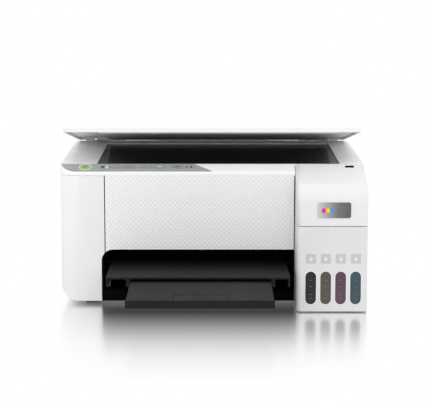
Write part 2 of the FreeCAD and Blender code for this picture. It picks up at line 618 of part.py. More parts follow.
def make_tray():
    roof = box("tray_left", "tray_right", "tray_front", "tray_back", "tray_top - tray_wall",
               "tray_top")
    left = box("tray_left", "tray_left + tray_wall", "tray_front", "tray_back", "tray_low",
               "tray_top")
    right = box("tray_right - tray_wall", "tray_right", "tray_front", "tray_back", "tray_low",
                "tray_top")
    rear = box("tray_left", "tray_right", "tray_back - tray_wall", "tray_back", "tray_low",
               "tray_top")
    guides = []
    for x, inward in (("ext_left - play", -1), ("ext_right + play", 1)):
        ends = (f"{x} - guide_w", x) if inward < 0 else (x, f"{x} + guide_w")
        lips = (x, f"{x} + 7") if inward < 0 else (f"{x} - 7", x)
        guides.append(box(*ends, "tray_front", "tray_back - 1", "tray_low", "tray_top - 1"))
        guides.append(box(*lips, "tray_front", "tray_back - 1", "tray_low",
                          "ext_low - play"))
    node("output_tray", fuse(roof, left, right, rear, *guides))


def make_extension():
    plate = box("ext_left", "ext_right", "ext_front + 1", "ext_back", "ext_low",
                "ext_low + ext_t")
    slab = box("ext_left", "ext_right", "ext_front", "ext_front + slab_t", "slab_low",
               "slab_high")
    slab = fillet(slab, "2", along("x", z="slab_high"))
    axis_z = "(ext_low + ext_t / 2)"
    well = box("stop_left - play", "stop_right + play", "stop_axis_y - 3.4",
               "stop_axis_y + stop_len + play", "ext_low - 1", "ext_low + ext_t + 1")
    bore = rod("x", "stop_left - 4.4", "stop_right + 4.4", "stop_axis_y", axis_z,
               "stop_pin_r + fit")
    node("tray_extension", cut(fuse(plate, slab), well, bore))
    flap = box("stop_left", "stop_right", "stop_axis_y", "stop_axis_y + stop_len",
               f"{axis_z} - stop_t / 2", f"{axis_z} + stop_t / 2")
    barrel = rod("x", "stop_left", "stop_right", "stop_axis_y", axis_z, "stop_t / 2")
    pin = rod("x", "stop_left - 4", "stop_right + 4", "stop_axis_y", axis_z, "stop_pin_r")
    node("paper_stopper", fuse(flap, barrel, pin))


# ---- print mechanism ----

def make_print_drive():
    wall = box("-rail_half", "rail_half", "rail_y", "rail_y + rail_t", "rail_low", "rail_high")
    flange = box("-rail_half", "rail_half", "rail_y", "rail_y + 16", "rail_high - rail_t",
                 "rail_high")
    pins = [rod("y", "belt_y - 0.6", "rail_y + 1", x, "pulley_z", "1")
            for x in ("-pulley_x", "pulley_x")]
    cheeks, bores = [], []
    for x in ("cheek_left", "cheek_right"):
        cheeks.append(box(x, f"{x} + cheek_t", "exit_y - 8", "feed_y + 10", "cheek_low",
                          "cheek_high"))
        cheeks.append(box(x, f"{x} + cheek_t", "feed_y + 3", "feed_y + 10", "cheek_low",
                          "rail_high"))
        for y in ("exit_y", "feed_y"):
            bores.append(rod("x", f"{x} - 1", f"{x} + cheek_t + 1", y, "roller_z",
                             "journal_r + fit"))
    node("chassis_rail", cut(fuse(wall, flange, *pins, *cheeks), *bores))
    node("carriage_rod", rod("x", "-rail_half", "rail_half", "slider_y", "slider_z", "rod_r"))
    make_carriage()
    make_belt()
    motor_front = "rail_y + rail_t + play"
    motors = [rod("y", motor_front, f"{motor_front} + motor_len", "-pulley_x", z, "motor_r")
              for z in ("pulley_z - 2.5", "lower_motor_z")]
    node("drive_motors", group(motors))
    for name, y, r in (("feed_roller", "feed_y", "feed_r"), ("exit_roller", "exit_y",
                                                              "exit_r")):
        barrel = rod("x", "roller_left", "roller_right", y, "roller_z", r)
        shaft = rod("x", "cheek_left - 2", "cheek_right + 4", y, "roller_z", "journal_r")
        node(name, fuse(barrel, shaft))
    ribs = [box(f"rib_left + {i} * rib_pitch", f"rib_left + {i} * rib_pitch + rib_w",
                "exit_y + 12", "feed_y - 12", "platen_top", "rib_top")
            for i in range(PLATEN_RIBS)]
    bed = box("platen_left", "platen_right", "exit_y + 10", "feed_y - 10", "platen_low",
              "platen_top")
    node("platen", fuse(bed, *ribs))


def make_carriage():
    right = "carriage_left + carriage_w"
    block = box("carriage_left", right, "carriage_front", "carriage_back", "carriage_low + 6",
                "carriage_high")
    block = fillet(block, "5", along("z", y="carriage_front"))
    nozzle = box("carriage_left + 12", f"{right} - 12", "carriage_front + 10",
                 "carriage_front + 34", "carriage_low", "carriage_low + 7")
    bore = rod("x", "carriage_left - 1", f"{right} + 1", "slider_y", "slider_z", "rod_r + fit")
    node("print_carriage", cut(fuse(block, nozzle), bore))


def make_belt():
    def loop(r):
        ends = [rod("y", "belt_y", "belt_y + belt_w", x, "pulley_z", r)
                for x in ("-pulley_x", "pulley_x")]
        return fuse(box("-pulley_x", "pulley_x", "belt_y", "belt_y + belt_w",
                        f"pulley_z - ({r})", f"pulley_z + {r}"), *ends)
    node("carriage_belt", cut(loop("pulley_r + belt_gap + belt_t"), loop("pulley_r + belt_gap")))
    for name, x in (("carriage_drive_pulley", "-pulley_x"), ("carriage_idler_pulley",
                                                              "pulley_x")):
        wheel = rod("y", "belt_y", "belt_y + belt_w", x, "pulley_z", "pulley_r")
        bore = rod("y", "belt_y - 1", "belt_y + belt_w + 1", x, "pulley_z", "1 + fit")
        node(name, cut(wheel, bore))


def make_electrics():
    node("capping_station", fuse(
        box("station_left", "station_right", "exit_y + 12", "slider_y + 20", "bay_floor + 1",
            "roller_z - 4"),
        box("station_left + 12", "station_right - 16", "exit_y + 26", "slider_y",
            "roller_z - 5", "roller_z + 6")))
    node("waste_ink_pad", box("pad_left", "pad_right", "bay_depth + 8", "pad_back", "pad_low",
                              "pad_high"))
    node("power_supply", box("supply_left", "supply_right", "bay_depth + 8", "supply_back",
                             "pad_low", "supply_high"))
    make_inlet()
    make_main_board()


def make_inlet():
    socket = box("inlet_left", "inlet_right", "inlet_front", "body_back - play", "inlet_low",
                 "inlet_high")
    recess = box("inlet_left + inlet_wall_x", "inlet_right - inlet_wall_x", "inlet_front + 8",
                 "body_back + 1", "inlet_low + inlet_wall_z", "inlet_high - inlet_wall_z")
    pins = [rod("y", "inlet_front + 7", "body_back - 4", x, "inlet_z", "inlet_pin_r")
            for x in ("inlet_pin_left", "inlet_pin_right")]
    node("power_inlet", fuse(cut(socket, recess), *pins))


def make_main_board():
    board = box("board_left", "board_left + board_t", "board_front", "board_back",
                "main_board_low", "main_board_high")
    port = box("usb_left", "usb_right", "inlet_front", "body_back - play", "usb_low",
               "usb_high")
    mouth = box("usb_left + usb_wall", "usb_right - usb_wall", "inlet_front + 10",
                "body_back + 1", "usb_low + 2", "usb_high - 2")
    chips = [box("board_left + board_t - 0.2", "board_left + board_t + chip_t", y,
                 f"{y} + chip_w", "chip_low", "chip_low + chip_w")
             for y in ("board_front + chip_w", "board_front + 52")]
    node("main_circuit_board", fuse(board, cut(port, mouth), *chips))


# ---- rear sheet feeder ----

def make_feeder():
    plate = box("-feeder_half", "feeder_half", "0.5", "0.5 + plate_t", "feeder_low", "-2")
    cheeks = []
    for x0, x1 in (("-feeder_half", "-feeder_half + 2.5"), ("feeder_half - 2.5",
                                                             "feeder_half")):
        cheeks.append(box(x0, x1, "guard_v - 4", "0.5 + plate_t", "feeder_low", "guard_w + 5"))
        cheeks.append(box(x0, x1, "pickup_v - 6", "0.5 + plate_t", "feeder_low",
                          "pickup_w + 10"))
    bores = [rod("x", "-feeder_half - 1", "feeder_half + 1", "pickup_v", "pickup_w",
                 "journal_r + fit"),
             rod("x", "-feeder_half - 1", "feeder_half + 1", "guard_v", "guard_w",
                 "guard_pin_r + fit")]
    channel = [box(x0, x1, "0.5", "plate_t + support_t + 3.6", "feeder_low", "-6")
               for x0, x1 in (("-support_half - 4", "-support_half - play"),
                              ("support_half + play", "support_half + 4"))]
    feeder_node("rear_feed_tray", fuse(cut(fuse(plate, *cheeks), *bores), *channel))
    sheet_rest = box("-support_half", "support_half", "plate_t + 1", "plate_t + 1 + support_t",
                     "feeder_low + 6", "-1")
    grip = box("-support_half", "support_half", "plate_t - 1", "plate_t + 2 + support_t",
               "-1.4", "3")
    feeder_node("paper_support", fuse(sheet_rest, fillet(grip, "1.2", along("x", z="3"))))
    tyre = rod("x", "-tyre_half", "tyre_half", "pickup_v", "pickup_w", "pickup_r")
    shaft = rod("x", "-feeder_half - 1", "feeder_half + 1", "pickup_v", "pickup_w",
                "journal_r")
    feeder_node("pickup_roller", fuse(tyre, shaft))
    pin = rod("x", "-feeder_half - 0.5", "feeder_half + 0.5", "0", "0", "guard_pin_r")
    barrel = rod("x", "-guard_half", "guard_half", "0", "0", "guard_t")
    flap = box("-guard_half", "guard_half", "0", "guard_len - 1.6", "-guard_t / 2",
               "guard_t / 2")
    spot_y = "front_y + feeder_y + guard_v * cos(feeder_tilt) + guard_w * sin(feeder_tilt)"
    spot_z = "feeder_z - guard_v * sin(feeder_tilt) + guard_w * cos(feeder_tilt)"
    node("feeder_guard", fuse(pin, barrel, flap), y=spot_y, z=spot_z)
    foot = box("guide_left", "guide_left + guide_foot_w", "-2.2", "0.2", "guide_low",
               "guide_high")
    fence = box("guide_left + 8", "guide_left + 11", "-9", "-1", "guide_low", "guide_high")
    feeder_node("edge_guide", fuse(foot, fence))


def check_and_export():
    """Stop on any failed feature, then write one STEP file for each sub-part."""
    doc.recompute()
    failed = [obj.Name for obj in doc.Objects if {"Invalid", "Error"} & set(obj.State)]
    bad = [obj.Label for obj in nodes if obj.Shape.isNull() or not obj.Shape.isValid()
           or not obj.Shape.Solids]
    if failed or bad:
        raise SystemExit(f"failed features {failed}, bad sub-parts {bad}")
    os.makedirs("parts", exist_ok=True)
    for obj in nodes:
        obj.Shape.exportStep(f"parts/{obj.Label}.step")
    print(len(nodes), "sub-parts written")


fill_sheet()
make_case()
make_tank_block()
make_ink_cover()
make_scanner()
make_lid()
make_output()
make_print_drive()
make_electrics()
make_feeder()
check_and_export()
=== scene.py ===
"""Looks of the ink-tank inkjet printer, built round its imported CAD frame, in metres."""

import json
import math

import bpy
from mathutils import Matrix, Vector


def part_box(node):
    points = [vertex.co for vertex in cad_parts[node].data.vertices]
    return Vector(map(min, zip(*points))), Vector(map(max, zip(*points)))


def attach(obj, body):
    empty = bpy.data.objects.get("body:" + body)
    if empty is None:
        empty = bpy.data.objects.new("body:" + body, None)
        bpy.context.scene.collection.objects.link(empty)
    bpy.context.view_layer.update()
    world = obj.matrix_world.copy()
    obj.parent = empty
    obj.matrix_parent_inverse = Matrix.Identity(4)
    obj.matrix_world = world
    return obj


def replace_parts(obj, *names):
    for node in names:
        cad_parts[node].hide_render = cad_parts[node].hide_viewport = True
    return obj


MM = 0.001
INKS = ("black", "yellow", "magenta", "cyan")
PILLS = ("network_button", "info_button", "mono_copy_button", "colour_copy_button",
         "stop_button")

# places that the CAD's own boxes do not give
STRIP_SLOPE = math.radians(20)
LID_OPEN = math.radians(9)
LID_AXIS = Vector((0, 219 * MM, 171.5 * MM))
BAY_TOP = 69 * MM
BAY_CORNER_X, BAY_CORNER_R = -122.2 * MM, 14 * MM
MARK_RISE = 0.08 * MM

# looks
FLOOR_GLOW = 0.95
GRAIN, GRAIN_DEPTH = 1400, 0.00004
INK_COLOURS = {"black": (0.014, 0.014, 0.014), "yellow": (0.098, 0.08, 0.06),
               "magenta": (0.105, 0.062, 0.088), "cyan": (0.048, 0.08, 0.1)}
# nodes given a lighter or darker copy of their slot's material, as painted light: painted
# highlight on the top deck, painted shade on the ink block, its cover and the bay's inside
PAINTED_LIGHT_MATERIALS = {"output_bay_liner": "black_and_painted_bay_shade", "ink_tank_housing": "block_white_painted_shade",
            "ink_cover": "cover_white_painted_shade", "scanner_top_frame": "deck_white_painted_highlight",
            "panel_housing": "deck_white_painted_highlight"}
# the bevel of each node whose edges show, in millimetres
BEVELS = {"left_side_cover": 0.25, "right_side_cover": 0.4, "ink_tank_housing": 0.6,
          "ink_cover": 0.6, "scanner_top_frame": 0.7, "panel_housing": 0.25,
          "lid_shell": 1.5, "output_tray": 0.4, "tray_extension": 0.5,
          "control_panel": 0.1, "power_button": 0.4, "rear_cover": 0.6,
          "document_mat": 0.3, "paper_support": 0.4, "print_carriage": 0.8,
          **{name: 0.4 for name in PILLS}}


# ---- materials ----

def shader(name, colour, rough, metal=0.0):
    """A material with a Principled shader, and its links ready to use."""
    mat = bpy.data.materials.new(name)
    mat.use_nodes = True
    tree = mat.node_tree
    bsdf = tree.nodes["Principled BSDF"]
    bsdf.inputs["Base Color"].default_value = (*colour, 1)
    bsdf.inputs["Roughness"].default_value = rough
    bsdf.inputs["Metallic"].default_value = metal
    return mat, tree, bsdf


def noise(tree, scale, detail=3.0, stretch=(1, 1, 1)):
    """Noise in the object's own coordinates, with scale in cycles per metre."""
    place = tree.nodes.new("ShaderNodeTexCoord")
    mapping = tree.nodes.new("ShaderNodeMapping")
    mapping.inputs["Scale"].default_value = stretch
    texture = tree.nodes.new("ShaderNodeTexNoise")
    texture.inputs["Scale"].default_value = scale
    texture.inputs["Detail"].default_value = detail
    tree.links.new(place.outputs["Object"], mapping.inputs["Vector"])
    tree.links.new(mapping.outputs["Vector"], texture.inputs["Vector"])
    return texture.outputs["Fac"]


def spread(tree, value, low, high):
    """value, from 0 to 1, mapped to low to high."""
    node = tree.nodes.new("ShaderNodeMapRange")
    node.inputs["To Min"].default_value = low
    node.inputs["To Max"].default_value = high
    tree.links.new(value, node.inputs["Value"])
    return node.outputs["Result"]


def blend_colours(tree, value, low, high):
    """A colour between low and high."""
    ramp = tree.nodes.new("ShaderNodeValToRGB")
    ramp.color_ramp.elements[0].position = 0.3
    ramp.color_ramp.elements[1].position = 0.7
    ramp.color_ramp.elements[0].color = (*low, 1)
    ramp.color_ramp.elements[1].color = (*high, 1)
    tree.links.new(value, ramp.inputs["Fac"])
    return ramp.outputs["Color"]


def tone_ramp(tree, value, stops):
    """Greys that run through stops of (position, tone)."""
    ramp = tree.nodes.new("ShaderNodeValToRGB")
    ramp.color_ramp.elements[0].position, ramp.color_ramp.elements[1].position = 0.0, 1.0
    for position, _ in stops[1:-1]:
        ramp.color_ramp.elements.new(position)
    for element, (_, tone) in zip(ramp.color_ramp.elements, stops):
        element.color = (tone, tone, tone, 1)
    tree.links.new(value, ramp.inputs["Fac"])
    return ramp.outputs["Color"]


def share(tree, value, start, end):
    """How far value lies between start and end, from 0 to 1."""
    node = tree.nodes.new("ShaderNodeMapRange")
    node.inputs["From Min"].default_value = start
    node.inputs["From Max"].default_value = end
    tree.links.new(value, node.inputs["Value"])
    return node.outputs["Result"]


def axes(tree, source):
    """The outputs X, Y and Z of a place's socket."""
    split = tree.nodes.new("ShaderNodeSeparateXYZ")
    tree.links.new(source, split.inputs["Vector"])
    return split.outputs


def object_axes(tree):
    """X, Y and Z in the object's own coordinates."""
    return axes(tree, tree.nodes.new("ShaderNodeTexCoord").outputs["Object"])


def reckon(tree, operation, *values):
    """A sum of numbers and sockets."""
    node = tree.nodes.new("ShaderNodeMath")
    node.operation = operation
    for socket, value in zip(node.inputs, values):
        if isinstance(value, float):
            socket.default_value = value
        else:
            tree.links.new(value, socket)
    return node.outputs["Value"]


def bump(tree, bsdf, height, strength, distance):
    """Raise the surface by height times distance."""
    node = tree.nodes.new("ShaderNodeBump")
    node.inputs["Strength"].default_value = strength
    node.inputs["Distance"].default_value = distance
    tree.links.new(height, node.inputs["Height"])
    tree.links.new(node.outputs["Normal"], bsdf.inputs["Normal"])


def moulded(name, colour, rough=0.42, grain=GRAIN, depth=GRAIN_DEPTH, vary=0.03, shine=0.5):
    """Moulded plastic: a fine spark-eroded grain and a slight unevenness."""
    mat, tree, bsdf = shader(name, colour, rough)
    bsdf.inputs["Specular IOR Level"].default_value = shine
    cloud = noise(tree, 18)
    tone = blend_colours(tree, cloud, [c * (1 - vary) for c in colour],
                         [min(1, c * (1 + vary)) for c in colour])
    tree.links.new(tone, bsdf.inputs["Base Color"])
    tree.links.new(spread(tree, noise(tree, 60), rough - 0.05, rough + 0.05),
                   bsdf.inputs["Roughness"])
    bump(tree, bsdf, noise(tree, grain), 0.35, depth)
    return mat


def latticed(name, colour, shade=0.9, width=0.14):
    """Plastic with a diamond lattice, with painted shade along the lattice's grooves."""
    mat, tree, bsdf = shader(name, colour, 0.4)
    _, _, _, start, step = lattice_grid()
    place = object_axes(tree)
    across, upward = [reckon(tree, "MULTIPLY_ADD", place[axis], 0.5 / pitch, -0.5 * at / pitch)
                      for axis, at, pitch in zip("XZ", start, step)]
    grooves = [reckon(tree, "PINGPONG", reckon(tree, operation, across, upward), 0.5)
               for operation in ("ADD", "SUBTRACT")]
    nearest = reckon(tree, "MULTIPLY", reckon(tree, "MINIMUM", *grooves), 0.7 / width)
    # painted shade: the colour darkens towards the grooves
    tree.links.new(blend_colours(tree, nearest, [c * shade for c in colour], colour),
                   bsdf.inputs["Base Color"])
    tree.links.new(spread(tree, noise(tree, 60), 0.34, 0.44), bsdf.inputs["Roughness"])
    bump(tree, bsdf, noise(tree, GRAIN), 0.35, GRAIN_DEPTH)
    return mat


def metal(name, colour, rough=0.3):
    """Rolled steel with a fine brushed grain along X."""
    mat, tree, bsdf = shader(name, colour, rough, metal=1.0)
    streaks = noise(tree, 900, 4, (0.03, 1, 1))
    tree.links.new(spread(tree, streaks, rough - 0.08, rough + 0.12), bsdf.inputs["Roughness"])
    bump(tree, bsdf, streaks, 0.25, 0.00003)
    return mat


def glass_plate(name):
    """The scanner's glass over its dark inside."""
    mat, tree, bsdf = shader(name, (0.006, 0.006, 0.007), 0.03)
    bsdf.inputs["Specular IOR Level"].default_value = 0.12
    tree.links.new(spread(tree, noise(tree, 30), 0.02, 0.05), bsdf.inputs["Roughness"])
    return mat


def ink_window(name, colour):
    """Ink behind a clear frosted wall: slightly uneven in tone, glossy in front."""
    mat, tree, bsdf = shader(name, colour, 0.3)
    cloud = noise(tree, 45)
    tone = blend_colours(tree, cloud, [c * 0.92 for c in colour], [c * 1.08 for c in colour])
    tree.links.new(tone, bsdf.inputs["Base Color"])
    bsdf.inputs["Specular IOR Level"].default_value = 0.3
    bump(tree, bsdf, noise(tree, 900), 0.2, 0.00003)
    return mat


def glow(name, colour, strength):
    """A small lit indicator."""
    mat, tree, bsdf = shader(name, colour, 0.4)
    bsdf.inputs["Emission Color"].default_value = (*colour, 1)
    bsdf.inputs["Emission Strength"].default_value = strength
    tree.links.new(spread(tree, noise(tree, 300), 0.35, 0.45), bsdf.inputs["Roughness"])
    return mat


def felt(name, colour):
    """A soft pad with long fibres."""
    mat, tree, bsdf = shader(name, colour, 0.95)
    tone = blend_colours(tree, noise(tree, 400, 6), [c * 0.85 for c in colour], colour)
    tree.links.new(tone, bsdf.inputs["Base Color"])
    bump(tree, bsdf, noise(tree, 1500, 6), 0.6, 0.0003)
    return mat


def badge_plate(name, left, right):
    """A pearly label that runs from light on its left to dark on its right."""
    mat, tree, bsdf = shader(name, (0.3, 0.3, 0.3), 0.25)
    stops = ((0.0, 0.62), (0.3, 0.36), (0.62, 0.16), (1.0, 0.095))
    across = share(tree, object_axes(tree)["X"], left, right)
    tree.links.new(tone_ramp(tree, across, stops), bsdf.inputs["Base Color"])
    bump(tree, bsdf, noise(tree, 800), 0.1, 0.00002)
    return mat


def make_materials():
    """Every material, by the record's slot or by its own name."""
    return {
        "white_plastic": moulded("white_plastic", (0.87, 0.87, 0.88), vary=0.012),
        # painted highlight: a lighter copy of the white plastic for the top frame and panel
        # housing, for the light that falls on them
        "deck_white_painted_highlight": moulded("deck_white_painted_highlight", (0.94, 0.94, 0.945), vary=0.012),
        # painted shade: a darker copy of the white plastic for the ink block
        "block_white_painted_shade": moulded("block_white_painted_shade", (0.75, 0.75, 0.76), vary=0.012),
        # painted shade: a darker copy of the white plastic for the ink cover
        "cover_white_painted_shade": moulded("cover_white_painted_shade", (0.82, 0.82, 0.83), vary=0.012),
        "textured_white_plastic": latticed("textured_white_plastic", (0.92, 0.92, 0.925)),
        "grey_plastic": moulded("grey_plastic", (0.36, 0.37, 0.375), rough=0.36),
        "black_plastic": moulded("black_plastic", (0.012, 0.012, 0.013), rough=0.55, vary=0.15,
                                 shine=0.12),
        # painted shade: black darker than the black plastic, standing for the shade inside the
        # output bay; the model plate uses it as its real black
        "black_and_painted_bay_shade": moulded("black_and_painted_bay_shade", (0.0025, 0.0025, 0.0025), rough=0.6, shine=0.03),
        "button_plastic": moulded("button_plastic", (0.37, 0.38, 0.385), rough=0.3),
        "scanner_glass": glass_plate("scanner_glass"),
        "foam": moulded("foam", (0.82, 0.82, 0.82), rough=0.6, grain=3000, vary=0.01),
        "rubber": moulded("rubber", (0.03, 0.03, 0.03), rough=0.7, grain=2200, depth=0.0001,
                          vary=0.2),
        "steel": metal("steel", (0.55, 0.56, 0.57)),
        "circuit_board": moulded("circuit_board", (0.02, 0.12, 0.05), rough=0.3, vary=0.2),
        "absorber": felt("absorber", (0.7, 0.7, 0.67)),
        "badge_plastic": badge_plate("badge_plastic", *[c.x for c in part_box("ink_cover_badge")]),
        **{f"ink_{ink}": ink_window(f"ink_{ink}", INK_COLOURS[ink]) for ink in INKS},
        "lamp_green": glow("lamp_green", (0.36, 0.75, 0.04), 0.5),
        "icon_dark": moulded("icon_dark", (0.09, 0.09, 0.095), rough=0.5),
        "icon_tick": moulded("icon_tick", (0.24, 0.24, 0.24), rough=0.5),
        "icon_grey": moulded("icon_grey", (0.17, 0.175, 0.18), rough=0.5),
        "icon_blue": moulded("icon_blue", (0.25, 0.62, 0.95), rough=0.5),
        # painted shade: the white mat's underside, made grey for the shade it lies in
        "mat_painted_shade": moulded("mat_painted_shade", (0.62, 0.625, 0.645), rough=0.4, vary=0.05, shine=0.3),
        "label_grey": moulded("label_grey", (0.56, 0.57, 0.58), rough=0.5),
        "label_pale": moulded("label_pale", (0.76, 0.76, 0.77), rough=0.5),
        "drop_magenta": moulded("drop_magenta", (0.75, 0.0, 0.25), rough=0.3),
        "drop_yellow": moulded("drop_yellow", (1.0, 0.62, 0.0), rough=0.3),
        "drop_cyan": moulded("drop_cyan", (0.0, 0.33, 0.8), rough=0.3),
    }


# ---- flat shapes, as lists of (u, v) ----

def circle(r, count=48):
    """Evenly spaced points at radius r."""
    return [(r * math.cos(t), r * math.sin(t))
            for t in (2 * math.pi * i / count for i in range(count))]


def rounded(w, d, r, steps=8):
    """A rectangle w by d with corners of radius r."""
    corners = ((w / 2 - r, d / 2 - r), (r - w / 2, d / 2 - r), (r - w / 2, r - d / 2),
               (w / 2 - r, r - d / 2))
    points = []
    for quarter, (u, v) in enumerate(corners):
        for i in range(steps + 1):
            t = (quarter + i / steps) * math.pi / 2
            points.append((u + r * math.cos(t), v + r * math.sin(t)))
    return points


def drop(r, count=40):
    """An ink drop: round below, with a point above."""
    points = []
    for i in range(count):
        t = 2 * math.pi * i / count
        pull = max(0.0, math.sin(t)) ** 3
        points.append((r * math.cos(t) * (1 - 0.75 * pull), r * (math.sin(t) + 0.75 * pull)))
    return points


def moved(points, u, v):
    """The same outline, shifted."""
    return [(a + u, b + v) for a, b in points]


class Facing:
    """A flat place to build on: its origin and its two directions, with n pointing out."""

    def __init__(self, origin, u, v):
        self.origin, self.u, self.v = Vector(origin), Vector(u), Vector(v)
        self.n = self.u.cross(self.v)

    def at(self, u, v, n=0.0):
        return self.origin + self.u * u + self.v * v + self.n * n


def front_of(x, y, z):
    """A place that faces the front."""
    return Facing((x, y, z), (1, 0, 0), (0, 0, 1))


# ---- pieces ----

def piece(name, verts, faces, material, slot, body, bevel=0.0):
    """A mesh that rides on a body."""
    mesh = bpy.data.meshes.new(name)
    mesh.from_pydata([tuple(v) for v in verts], [], faces)
    mesh.validate()
    mesh.materials.append(material)
    obj = bpy.data.objects.new(name, mesh)
    bpy.context.scene.collection.objects.link(obj)
    if bevel:
        soften(obj, bevel)
    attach(obj, body)
    return obj


def soften(obj, width, segments=2, weld=False):
    """Round an object's sharp edges by a modifier."""
    if weld:
        obj.modifiers.new("weld", "WELD").merge_threshold = 0.000005
    round_off = obj.modifiers.new("bevel", "BEVEL")
    round_off.width = width
    round_off.segments = segments
    round_off.limit_method = "ANGLE"
    round_off.angle_limit = math.radians(40)
    round_off.harden_normals = False


def plate(name, outline, place, low, high, material, slot, body, bevel=0.0):
    """An outline raised from low to high above a place."""
    count = len(outline)
    verts = [place.at(u, v, n) for n in (low, high) for u, v in outline]
    faces = [tuple(range(count - 1, -1, -1)), tuple(range(count, 2 * count))]
    faces += [(i, (i + 1) % count, count + (i + 1) % count, count + i) for i in range(count)]
    return piece(name, verts, faces, material, slot, body, bevel)


def frame_plate(name, outer, inner, place, low, high, material, slot, body, bevel=0.0):
    """A band between two outlines that have the same number of points."""
    count = len(outer)
    verts = [place.at(u, v, n) for n in (low, high) for ring in (outer, inner)
             for u, v in ring]
    faces = []
    for i in range(count):
        j = (i + 1) % count
        faces.append((i, count + i, count + j, j))
        faces.append((2 * count + i, 2 * count + j, 3 * count + j, 3 * count + i))
        faces.append((i, j, 2 * count + j, 2 * count + i))
        faces.append((count + i, 3 * count + i, 3 * count + j, count + j))
    return piece(name, verts, faces, material, slot, body, bevel)


def corner_web(left, right, steps=10):
    """The outline of the front panel's part of the bay's round corner, in x and z."""
    base, nick = BAY_TOP - BAY_CORNER_R, 0.02 * MM
    arc = []
    for i in range(steps + 1):
        x = left + (right - left) * i / steps
        rise = math.sqrt(BAY_CORNER_R ** 2 - (x - BAY_CORNER_X) ** 2)
        arc.append((x, base + rise - (nick if i == 0 else 0)))
    return [(left, BAY_TOP), *arc]


def lattice_grid():
    """The lattice panel's two corners, its half pitches each way, and their start and step."""
    low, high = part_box("front_panel")
    low.z = BAY_TOP
    pitch_x, pitch_z, border = 5.95 * MM, 5.9 * MM, 1.6 * MM
    wide, tall = high.x - low.x - 2 * border, high.z - low.z - 2 * border
    counts = (2 * round(wide / pitch_x), 2 * round(tall / pitch_z))
    start = (low.x + border, low.z + border)
    return low, high, counts, start, (wide / counts[0], tall / counts[1])


def lattice_face():
    """The points and triangles of the lattice's front, with how many points lie each way."""
    low, high, (columns, rows), start, step = lattice_grid()
    rise = 0.36 * MM
    xs = [low.x] + [start[0] + i * step[0] for i in range(columns + 1)] + [high.x]
    zs = [low.z] + [start[1] + i * step[1] for i in range(rows + 1)] + [high.z]
    wide, tall = len(xs), len(zs)
    verts, faces = [], []
    for k, z in enumerate(zs):
        for i, x in enumerate(xs):
            raised = 1 < i < wide - 2 and 1 < k < tall - 2 and (i + k) % 2
            verts.append((x, low.y + rise - (rise if raised else 0.0), z))
    for k in range(tall - 1):
        for i in range(wide - 1):
            a, d = k * wide + i, (k + 1) * wide + i
            b, c = a + 1, d + 1
            faces += [(a, b, d), (b, c, d)] if (i + k) % 2 else [(a, b, c), (a, c, d)]
    return verts, faces, wide, tall


def lattice_panel(mats):
    """The front panel, with its moulded lattice of low diamonds."""
    low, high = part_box("front_panel")
    verts, faces, wide, tall = lattice_face()
    rim = (list(range(wide)) + [k * wide + wide - 1 for k in range(1, tall)]
           + [(tall - 1) * wide + i for i in range(wide - 2, -1, -1)]
           + [k * wide for k in range(tall - 2, 0, -1)])
    back, count = len(verts), len(rim)
    verts += [(verts[i][0], high.y, verts[i][2]) for i in rim]
    for i in range(count):
        j = (i + 1) % count
        faces.append((rim[i], back + i, back + j, rim[j]))
    faces.append(tuple(range(back, back + count)))
    looks = (mats["textured_white_plastic"], "textured_white_plastic", "scanner_unit")
    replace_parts(piece("front_panel_lattice", verts, faces, *looks), "front_panel")
    corner_wide = 9 * MM
    plate("front_panel_corner", corner_web(low.x, low.x + corner_wide), front_of(0, low.y, 0),
          low.y - high.y, 0, *looks)


def button_top(node):
    """The place on a button's outer face, turned with the control panel."""
    low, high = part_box(node)
    half_height = 3.5 * MM
    up = Vector((0, math.cos(STRIP_SLOPE), math.sin(STRIP_SLOPE)))
    place = Facing((low + high) / 2, (1, 0, 0), up)
    place.origin = place.at(0, 0, half_height)
    return place


def power_details(mats, power):
    """The power button's lit ring, and its mark: a bar in an open circle."""
    ink = (mats["icon_dark"], "black_plastic", "power_button")
    frame_plate("power_light_ring", circle(7.7 * MM), circle(6.5 * MM), power, -0.9 * MM,
                -0.35 * MM, mats["lamp_green"], "button_plastic", "scanner_unit", 0.1 * MM)
    plate("power_mark_bar", rounded(0.7 * MM, 3.2 * MM, 0.3 * MM),
          Facing(power.at(0, 1.6 * MM), power.u, power.v), 0, MARK_RISE, *ink)
    radius, half_line, steps, start, sweep = 2.4 * MM, 0.35 * MM, 20, 125, 290
    turns = [math.radians(start + sweep * i / steps) for i in range(steps + 1)]
    outer, inner = [[(r * math.cos(t), r * math.sin(t)) for t in turns]
                    for r in (radius + half_line, radius - half_line)]
    plate("power_mark_arc", outer + inner[::-1], power, 0, MARK_RISE, *ink)


def control_panel_details(mats):
    """The marks on the buttons, and the lamps between them."""
    power = button_top("power_button")
    power_details(mats, power)
    for number, name in enumerate(PILLS):
        top = button_top(name)
        frame_plate(f"{name}_rim", rounded(13.2 * MM, 6.6 * MM, 3.3 * MM),
                    rounded(11.8 * MM, 5.2 * MM, 2.6 * MM), top, 0, MARK_RISE,
                    mats["icon_dark" if name == "stop_button" else "icon_grey"],
                    "button_plastic", name)
        button_mark(name, number, top, mats)
    lamps = {"network_lamp": (-134.5, "icon_dark", 4.6),
             "status_lamp": (-129.5, "lamp_green", 2.6),
             "ink_lamp": (-31, "icon_dark", 1.6), "paper_lamp": (-25.5, "icon_dark", 2.6)}
    for name, (x, material, wide) in lamps.items():
        spot = Facing((x * MM, power.origin.y, power.origin.z), power.u, power.v)
        plate(name, rounded(wide * MM, 5.6 * MM, 0.7 * MM), spot, -1.2 * MM, -0.7 * MM,
              mats[material], "button_plastic", "scanner_unit", 0.1 * MM)


